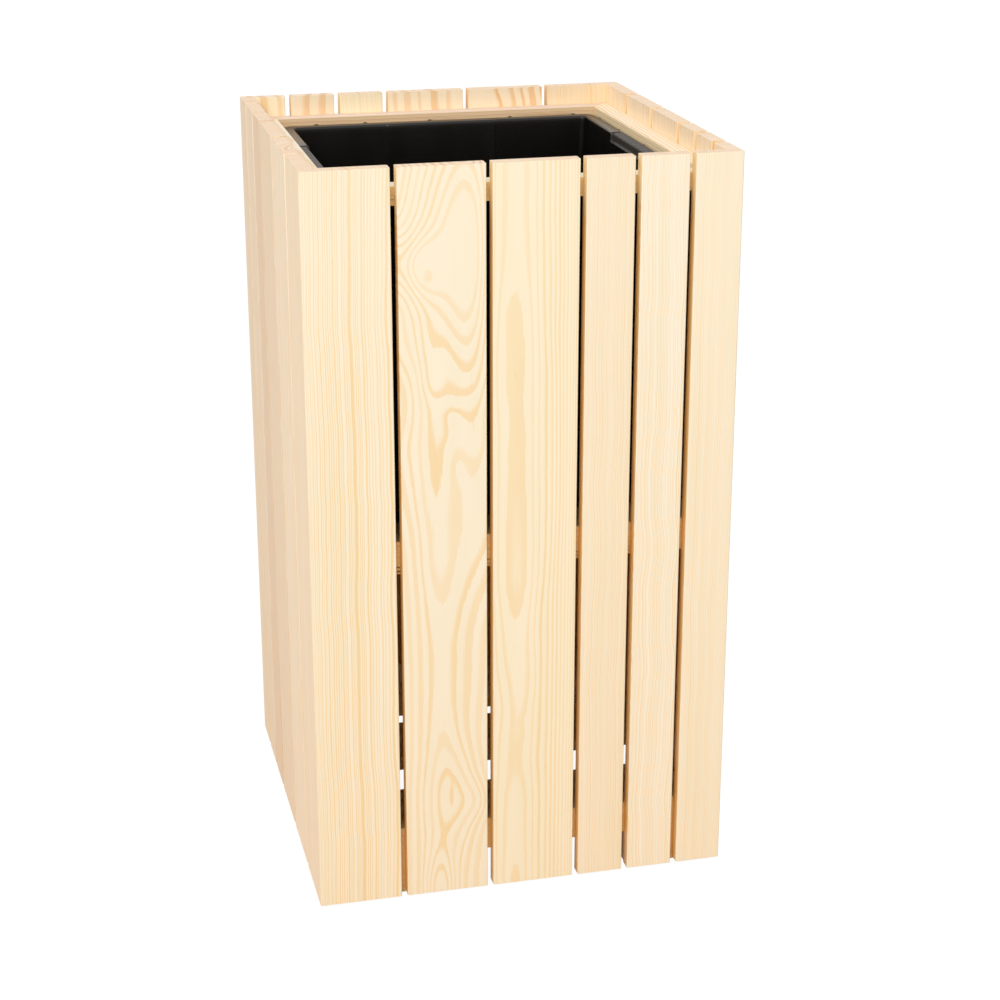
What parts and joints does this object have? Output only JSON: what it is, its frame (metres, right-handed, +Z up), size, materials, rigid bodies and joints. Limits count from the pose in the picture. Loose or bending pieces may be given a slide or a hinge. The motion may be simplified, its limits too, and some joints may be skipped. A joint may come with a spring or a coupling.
{
  "type": "litter bin",
  "caption": "Square upright litter bin with a casing of spaced pine slats mitred at the corners, inner rails and shelf, and a black plastic tub that lifts out.",
  "frame": {"origin": "middle of the casing's footprint, on the ground under the feet", "axes": "+Z up, the way the tub lifts out; +X to the right along the front; +Y from the front to the back; the tub's grips are on the -X and +X sides"},
  "size_m": [0.476, 0.476, 0.848],
  "materials": {
    "slat_pine": "planed, untreated",
    "rail_pine": "planed, untreated",
    "board_pine": "planed, untreated",
    "foot_pine": "planed, untreated",
    "screw_steel": "zinc plated",
    "tub_plastic": "fine moulded grain"
  },
  "bodies": {
    "casing": {"front_slat_1": "slat_pine", "front_slat_2": "slat_pine", "front_slat_3": "slat_pine", "front_slat_4": "slat_pine", "front_slat_5": "slat_pine", "front_slat_6": "slat_pine", "right_slat_1": "slat_pine", "right_slat_2": "slat_pine", "right_slat_3": "slat_pine", "right_slat_4": "slat_pine", "right_slat_5": "slat_pine", "right_slat_6": "slat_pine", "back_slat_1": "slat_pine", "back_slat_2": "slat_pine", "back_slat_3": "slat_pine", "back_slat_4": "slat_pine", "back_slat_5": "slat_pine", "back_slat_6": "slat_pine", "left_slat_1": "slat_pine", "left_slat_2": "slat_pine", "left_slat_3": "slat_pine", "left_slat_4": "slat_pine", "left_slat_5": "slat_pine", "left_slat_6": "slat_pine", "top_rail_front": "rail_pine", "top_rail_right": "rail_pine", "top_rail_back": "rail_pine", "top_rail_left": "rail_pine", "mid_rail_front": "rail_pine", "mid_rail_right": "rail_pine", "mid_rail_back": "rail_pine", "mid_rail_left": "rail_pine", "bottom_rail_front": "rail_pine", "bottom_rail_right": "rail_pine", "bottom_rail_back": "rail_pine", "bottom_rail_left": "rail_pine", "shelf_board_1": "board_pine", "shelf_board_2": "board_pine", "shelf_board_3": "board_pine", "floor_board_1": "board_pine", "floor_board_2": "board_pine", "floor_board_3": "board_pine", "foot_front_left": "foot_pine", "foot_front_right": "foot_pine", "foot_back_left": "foot_pine", "foot_back_right": "foot_pine", "top_slat_screws": "screw_steel", "mid_slat_screws": "screw_steel", "bottom_slat_screws": "screw_steel", "foot_slat_screws": "screw_steel", "foot_rail_screws": "screw_steel", "shelf_screws": "screw_steel", "floor_screws": "screw_steel"},
    "liner": {"tub": "tub_plastic"}
  },
  "joints": [
    {"name": "tub_lift", "type": "slide", "parent": "casing", "child": "liner", "axis": [0, 0, 1], "range_m": [0, 0.42]}
  ]
}
